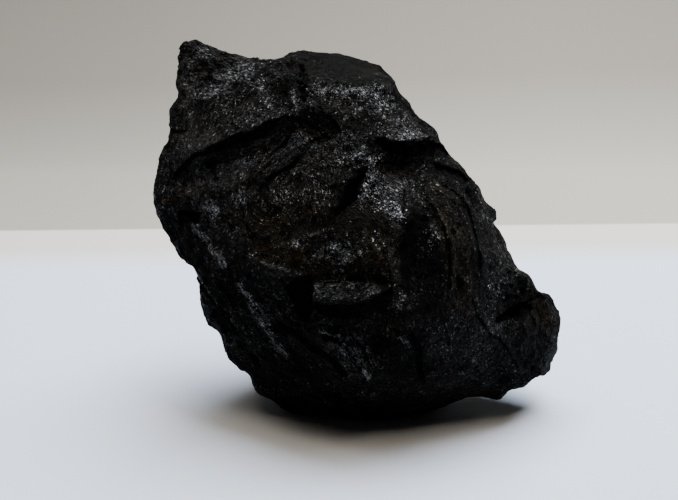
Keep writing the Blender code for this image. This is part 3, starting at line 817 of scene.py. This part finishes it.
def markSurface():
    points = readPoints(skin)
    normals = readNormals(skin)
    space, height = strokeSpace(points, broadNormals)
    layer = skin.data.attributes.new("stroke", "FLOAT_VECTOR", "POINT")
    layer.data.foreach_set("vector", space.astype(np.float32).ravel())
    addAttribute("strokeHeight", height)
    spots = frontSpots(points)
    seen = facing(points, normals)
    wave = waveNoise(points, hiddenMarks["patch"], 41) + 0.5 * waveNoise(points, 4.0, 42)
    patches = smoothStep(-0.1, 0.8, wave)
    shake = np.stack((waveNoise(points, waver["size"], 43), waveNoise(points, waver["size"], 44)), 1)
    warped = spots + shake * waver["reach"]
    gloss = np.maximum(sumSpots(warped, glossSpots), sumLines(warped, glossLines)) * seen
    gloss += (1 - seen) * patches * hiddenMarks["gloss"]
    dull = sumSpots(warped, dullSpots)
    # painted shade, with some darker tone: black darkens the colour and the shine
    black = np.maximum(sumSpots(warped, shadeAndDarkSpots), sumLines(warped, valleyShadeBelts)) * seen
    paintedBlueSheen = sumSpots(warped, paintedBlueSheenSpots) * seen
    brown = np.maximum(sumSpots(warped, brownSpots), sumLines(spots, brownLines)) * seen
    stains = smoothStep(0.1, 0.9, waveNoise(points, hiddenMarks["brownPatch"], 45))
    brown += (1 - seen) * stains * hiddenMarks["brown"]
    # painted light and shade: the colour is lighter higher up and on faces that turn up, darker low down and
    # on faces that turn down
    satinAndPaintedLight = 0.45 + 0.3 * smoothStep(15, 75, points[:, 2]) + 0.25 * smoothStep(-0.3, 0.6, broadNormals[:, 2])
    satinAndPaintedLight *= 0.85 + 0.3 * waveNoise(points, 5.0, 46)
    satinAndPaintedLight *= (0.6 + sumSpots(warped, satinAndLightSpots) * seen) * (1 - 0.45 * gloss)
    satinAndPaintedLight = np.maximum(satinAndPaintedLight, sumLines(spots, brownLines) * seen)
    addAttribute("gloss", (0.10 * satinAndPaintedLight + gloss) * (1 - dull) * (1 - black))
    addAttribute("satinAndPaintedLight", satinAndPaintedLight * (1 - 0.7 * dull) * (1 - 0.95 * black))
    addAttribute("dull", dull)
    # painted shade: black under the lips, along the fine cracks and under the hidden lips on the sides
    paintedShade = np.maximum(lipShade(points), slopeLines(spots + (warped - spots) * 0.3, crackShadeLines)) * seen
    deepest = max(wave[1] for wave in hiddenLips["waves"])
    addAttribute("paintedShade", np.maximum(paintedShade, (hiddenUnder(points) / deepest) ** 1.5 * (1 - seen)))
    addAttribute("brown", brown)
    addAttribute("paintedBlueSheen", paintedBlueSheen)
    addAttribute("smooth", sumSpots(warped, smoothSpots) * seen)


markSurface()
print("surface marked")


def thinSole():
    # the sole is flat and hidden, so it keeps its form with fewer points: no two that are dissolved touch
    mesh = skin.data
    beside = {}
    for edge in mesh.edges:
        first, second = edge.vertices
        beside.setdefault(first, set()).add(second)
        beside.setdefault(second, set()).add(first)
    kept = {end for face in mesh.polygons if face.center.z > lump["flatLimit"] for end in face.vertices}
    activate(skin)
    bpy.ops.object.mode_set(mode="EDIT")
    bpy.ops.mesh.select_mode(type="VERT")
    bpy.ops.mesh.select_all(action="DESELECT")
    bpy.ops.object.mode_set(mode="OBJECT")
    for vertex in mesh.vertices:
        if vertex.index not in kept:
            vertex.select = True
            kept |= beside[vertex.index]
    bpy.ops.object.mode_set(mode="EDIT")
    bpy.ops.mesh.dissolve_verts()
    bpy.ops.mesh.select_all(action="SELECT")
    bpy.ops.mesh.quads_convert_to_tris()
    bpy.ops.object.mode_set(mode="OBJECT")


thinSole()
print("sole thinned, skin has", len(skin.data.polygons), "triangles")


class Socket:
    # wraps a node's output, so that shader maths can be written as plain expressions
    def __init__(self, tree, output):
        self.tree = tree
        self.output = output

    def maths(self, operation, other=None, third=None, flipped=False):
        node = self.tree.nodes.new("ShaderNodeMath")
        node.operation = operation
        values = [other, self, third] if flipped else [self, other, third]
        for slot, value in zip(node.inputs, values):
            if isinstance(value, Socket):
                self.tree.links.new(value.output, slot)
            elif value is not None:
                slot.default_value = value
        return Socket(self.tree, node.outputs[0])

    def __add__(self, other):
        return self.maths("ADD", other)

    def __radd__(self, other):
        return self.maths("ADD", other, flipped=True)

    def __sub__(self, other):
        return self.maths("SUBTRACT", other)

    def __rsub__(self, other):
        return self.maths("SUBTRACT", other, flipped=True)

    def __mul__(self, other):
        return self.maths("MULTIPLY", other)

    def __rmul__(self, other):
        return self.maths("MULTIPLY", other, flipped=True)

    def __pow__(self, other):
        return self.maths("POWER", other)

    def clamp(self, low=0.0, high=1.0):
        return self.maths("MAXIMUM", low).maths("MINIMUM", high)

    def over(self, edge, soft):
        # 0 below the edge and 1 above it, with a soft change of the given width
        return ((self - edge) * (1 / soft) + 0.5).clamp()


class Shader:
    def __init__(self, name):
        self.material = bpy.data.materials.new(name)
        self.material.use_nodes = True
        self.tree = self.material.node_tree
        self.surface = self.tree.nodes["Principled BSDF"]

    def node(self, kind, settings=None, values=None, output=0):
        # any node: its settings first, then its sockets' values or links
        made = self.tree.nodes.new(kind)
        for name, value in (settings or {}).items():
            setattr(made, name, value)
        for name, value in (values or {}).items():
            self.feed(made.inputs[name], value)
        return Socket(self.tree, made.outputs[output])

    def feed(self, slot, value):
        if isinstance(value, Socket):
            self.tree.links.new(value.output, slot)
        else:
            slot.default_value = value

    def set(self, surface=None, **values):
        for name, value in values.items():
            self.feed((surface or self.surface).inputs[name.replace("_", " ")], value)

    def vector(self, operation, first, second=None, output=0):
        values = {0: first} if second is None else {0: first, 1: second}
        return self.node("ShaderNodeVectorMath", {"operation": operation}, values, output)

    def scaled(self, first, factor):
        return self.node("ShaderNodeVectorMath", {"operation": "SCALE"}, {0: first, "Scale": factor})

    def attribute(self, name):
        return self.node("ShaderNodeAttribute", {"attribute_name": name}, output="Fac")

    def noise(self, place, size, detail=2.0):
        # size in mm
        return self.node("ShaderNodeTexNoise", values={"Vector": place, "Scale": 1 / size, "Detail": detail})

    def mix(self, share, first, second):
        return self.node("ShaderNodeMix", {"data_type": "RGBA"}, {"Factor": share, 6: first, 7: second},
                         output=2)

    def leaningCells(self, place, size):
        # small flats that lean at random, as a height in mm, and a random value for each
        spot = self.scaled(place, 1 / size)
        made = self.tree.nodes.new("ShaderNodeTexVoronoi")
        made.inputs["Scale"].default_value = 1.0
        self.feed(made.inputs["Vector"], spot)
        colour = Socket(self.tree, made.outputs["Color"])
        middle = Socket(self.tree, made.outputs["Position"])
        lean = self.vector("SUBTRACT", colour, (0.5, 0.5, 0.5))
        offset = self.vector("SUBTRACT", spot, middle)
        height = self.vector("DOT_PRODUCT", lean, offset, output="Value") * size
        chance = self.node("ShaderNodeSeparateColor", values={"Color": colour}, output=1)
        return height, chance, Socket(self.tree, made.outputs["Distance"])

    def hairCracks(self, place, size, width):
        # thin lines between blocks of a size in mm, here and there only, cut into the bump and painted dark
        # as shade
        wander = self.node("ShaderNodeTexNoise", values={"Vector": place, "Scale": 1 / 2.6, "Detail": 3.0},
                           output="Color")
        bent = self.vector("ADD", place, self.scaled(self.vector("SUBTRACT", wander, (0.5, 0.5, 0.5)), 5.0))
        edge = self.node("ShaderNodeTexVoronoi", {"feature": "DISTANCE_TO_EDGE"},
                         {"Vector": bent, "Scale": 1 / size}, output="Distance")
        there = self.noise(place, 6.0).over(0.5, 0.16)
        return (1.0 - edge * (size / width)).clamp() * there


stone = {
    "black": (0.0006, 0.0006, 0.0005, 1.0),
    "grey": (0.0150, 0.0136, 0.0112, 1.0),
    "brown": (0.0280, 0.0170, 0.0034, 1.0),
    # painted sheen: the bluish colour of the reflection spots
    "paintedBlueSheen": (0.0102, 0.0123, 0.0152, 1.0),
    "coarseCell": 1.0,          # mm
    "fineCell": 0.34,
    "crackCell": 4.6,           # size of the blocks that the hair cracks part
    "crackWidth": 0.16,
    "gritSize": 0.35,
    "patchSize": 5.0,
    "lipLimit": 0.30,           # how high the painted shade attribute is where the painted black begins
    "dullShine": 0.03,          # specular levels of the two finishes
    "brightShine": 0.66,
    "brightIor": 1.66,
    "dullRoughness": 0.70,
    "satinRoughness": 0.42,
    "glintRoughness": 0.10,
}


def gilsonite():
    shader = Shader("gilsonite")
    place = shader.scaled(shader.node("ShaderNodeTexCoord", output="Object"), 1000.0)
    gloss = shader.attribute("gloss")
    satinAndPaintedLight = shader.attribute("satinAndPaintedLight")
    dull = shader.attribute("dull")
    smooth = shader.attribute("smooth")
    brown = shader.attribute("brown")
    strokeHeight = shader.attribute("strokeHeight")
    coarse, coarseChance, _ = shader.leaningCells(place, stone["coarseCell"])
    fine, fineChance, fineGap = shader.leaningCells(place, stone["fineCell"])
    grit = shader.noise(place, stone["gritSize"])
    patches = shader.noise(place, stone["patchSize"], 4.0)
    crack = shader.hairCracks(place, stone["crackCell"], stone["crackWidth"])
    crack = crack * (1.0 - dull * 0.6) * (1.0 - smooth * 0.8)
    # painted shade: the colour turns black where the painted shade attribute passes its limit
    paintedShade = (shader.attribute("paintedShade") + (grit - 0.5) * 0.12).over(stone["lipLimit"], 0.08)
    strokes = shader.node("ShaderNodeTexNoise", values={
        "Vector": shader.node("ShaderNodeAttribute", {"attribute_name": "stroke"}, output="Vector"),
        "Scale": 1.2, "Detail": 2.0})
    groove = (1.0 - (strokes - 0.47).maths("ABSOLUTE") * 9.0).clamp()
    crest = (1.0 - (strokes - 0.60).maths("ABSOLUTE") * 8.0).clamp()
    height = (coarse * 1.0 + fine * 1.4) * (1.0 - dull * 0.5) * (1.0 - smooth * 0.85) + (grit - 0.5) * 0.15
    height = height + (crest * 0.5 - groove * 0.8) * strokeHeight - crack * 0.3
    bump = shader.node("ShaderNodeBump", values={"Height": height, "Strength": 1.0, "Distance": 0.001})
    # painted shade: the colour and the shine are darker in the stroke grooves, in the hair cracks and under
    # the lips
    clear = 1.0 - groove * (strokeHeight * 1.8).clamp(0.0, 0.9)
    clear = clear * (1.0 - crack * 0.85) * (1.0 - paintedShade * 0.96)
    speck = (0.08 + fineChance ** 4.0 * 4.4) * (1.4 - fineGap * 1.0) * (0.8 + coarseChance * 0.4)
    even = (smooth * 0.6 + brown * 0.5).clamp()
    speck = speck * (1.0 - even) + even
    hue = shader.mix((brown * (0.7 + patches)).clamp(), stone["grey"], stone["brown"])
    # painted sheen: bluish colour where the painted sheen spots are
    hue = shader.mix((shader.attribute("paintedBlueSheen") * patches * 1.8).clamp(), hue, stone["paintedBlueSheen"])
    # painted light: the colour scales with the satin and painted light attribute
    tint = shader.vector("ADD", shader.scaled(hue, satinAndPaintedLight * clear * speck), stone["black"][:3])
    shader.set(Base_Color=tint, Normal=bump, Roughness=stone["dullRoughness"] + (patches - 0.5) * 0.2)
    shader.surface.inputs["Specular IOR Level"].default_value = stone["dullShine"]
    chance = (fineChance * 0.7 + coarseChance * 0.3) * (1.0 - smooth * 0.5) + smooth * 0.2
    glint = (gloss * 1.15 + satinAndPaintedLight.clamp(0.0, 0.7) * 0.245 - chance).maths("DIVIDE", smooth * 0.3 + 0.1)
    glint = (glint + 0.5).clamp()
    bright = shader.tree.nodes.new("ShaderNodeBsdfPrincipled")
    sharp = glint * (gloss * 1.4 + 0.25).clamp()
    roughness = stone["satinRoughness"] + (stone["glintRoughness"] - stone["satinRoughness"]) * sharp
    shader.set(bright, Base_Color=stone["black"], Normal=bump, Roughness=roughness + smooth * 0.22)
    bright.inputs["Specular IOR Level"].default_value = stone["brightShine"]
    bright.inputs["IOR"].default_value = stone["brightIor"]
    share = ((satinAndPaintedLight * 0.07 + glint) * clear).clamp()
    sides = {1: Socket(shader.tree, shader.surface.outputs[0]), 2: Socket(shader.tree, bright.outputs[0])}
    mixed = shader.node("ShaderNodeMixShader", values={0: share, **sides})
    shader.tree.links.new(mixed.output, shader.tree.nodes["Material Output"].inputs["Surface"])
    return shader.material


skin.data.materials.append(gilsonite())
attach(skin, "root")
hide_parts("gilsonite_lump")
print("skin finished")


# The backdrop is one pale sheet: a table, and behind a straight line across it the foot of a darker wall,
# into which the sheet sweeps up
stage = {
    "tableEnd": 0.2255,         # m behind the lump's middle
    "tableSlope": 0.05,         # how much farther the table's end is for each m to the right
    "tableStrip": 0.055,        # m of warmer table before its end
    "wallDistance": 0.60,
    "wallHeight": 0.30,
    "sweep": 0.20,              # radius of the bend between floor and wall
    "table": (0.77, 0.855, 1.0, 1.0),
    "tableFar": (0.72, 0.70, 0.63, 1.0),
    "wallFoot": (0.412, 0.396, 0.336, 1.0),
    "wallTopPaintedShade": (0.258, 0.236, 0.202, 1.0),
    "fade": (0.25, 0.19),       # where the wall's foot turns into its top, painted darker as shade, and how softly
    "leftShade": (0.90, 0.90, 0.90, 1.0),   # painted light and shade: the wall's left end against its right
    "rightShade": (1.10, 1.10, 1.10, 1.0),
    "shadeReach": 0.3,          # m across which one shade turns into the other
    "stripSoftness": 0.035,
    "endSoftness": 0.004,
    "roughness": 0.9,
    "sheet": 8.0,
    "bendSegments": 24,
}


def backdropPaper():
    shader = Shader("backdropPaper")
    place = shader.node("ShaderNodeTexCoord", output="Object")
    across, back, height = (shader.node("ShaderNodeSeparateXYZ", values={"Vector": place}, output=axis)
                            for axis in "XYZ")
    beyond = back - across * stage["tableSlope"] - stage["tableEnd"]
    # painted shade: the wall is painted darker from its foot up to its top, and at its left end
    wall = shader.mix((beyond + height).over(*stage["fade"]), stage["wallFoot"], stage["wallTopPaintedShade"])
    shade = shader.mix(across.over(0.0, stage["shadeReach"]), stage["leftShade"], stage["rightShade"])
    wall = shader.vector("MULTIPLY", wall, shade)
    strip = (beyond + stage["tableStrip"]).over(0.0, stage["stripSoftness"])
    table = shader.mix(strip, stage["table"], stage["tableFar"])
    colour = shader.mix(beyond.over(0.0, stage["endSoftness"]), table, wall)
    shader.set(Base_Color=colour, Roughness=stage["roughness"])
    return shader.material


def addBackdrop():
    deselectAll()
    middle = stage["wallDistance"] - stage["sheet"] / 2
    bpy.ops.mesh.primitive_plane_add(size=stage["sheet"], location=(0, middle, 0))
    backdrop = bpy.context.object
    backdrop.name = "backdrop"
    bpy.ops.object.transform_apply(location=True, rotation=True, scale=True)
    bpy.ops.object.mode_set(mode="EDIT")
    bpy.ops.mesh.select_mode(type="EDGE")
    bpy.ops.mesh.select_all(action="DESELECT")
    bpy.ops.object.mode_set(mode="OBJECT")
    for edge in backdrop.data.edges:
        edge.select = all(backdrop.data.vertices[end].co.y > 0 for end in edge.vertices)
    bpy.ops.object.mode_set(mode="EDIT")
    bpy.ops.mesh.extrude_region_move(TRANSFORM_OT_translate={"value": (0, 0, stage["wallHeight"])})
    bpy.ops.object.mode_set(mode="OBJECT")
    bend = backdrop.modifiers.new("bend", "BEVEL")
    bend.width = stage["sweep"]
    bend.segments = stage["bendSegments"]
    bpy.ops.object.modifier_apply(modifier="bend")
    bpy.ops.object.shade_smooth()
    backdrop.data.materials.append(backdropPaper())


# Soft panels: where each hangs and what it aims at in m, its two sides in m, its power in W, its colour
panels = {
    "overheadPanel": ((0.17, 0.23, 0.79), (0.05, 0.08, 0), (0.80, 0.78), 20.2, (0.96, 1.0, 1.06)),
    "frontPanel": ((0.14, -0.32, 0.74), (0, 0, 0), (0.34, 0.34), 2.3, (1.0, 0.80, 0.58)),
    "leftPanel": ((-0.36, 0.02, 0.74), (0, 0, 0), (0.20, 0.20), 1.0, (1.0, 0.85, 0.66)),
}
roomLight = (0.012, 0.011, 0.010, 1)


def addLight(name, place, aim, sizes, power, colour):
    deselectAll()
    bpy.ops.object.light_add(type="AREA", location=place)
    light = bpy.context.object
    light.name = name
    light.data.shape = "RECTANGLE"
    light.data.size, light.data.size_y = sizes
    light.data.energy = power
    light.data.color = colour
    light.rotation_euler = (Vector(aim) - Vector(place)).to_track_quat("-Z", "Y").to_euler()


addBackdrop()
for name, panel in panels.items():
    addLight(name, *panel)
world = bpy.context.scene.world or bpy.data.worlds.new("room")
bpy.context.scene.world = world
world.use_nodes = True
world.node_tree.nodes["Background"].inputs["Color"].default_value = roomLight
print("stage and light placed")
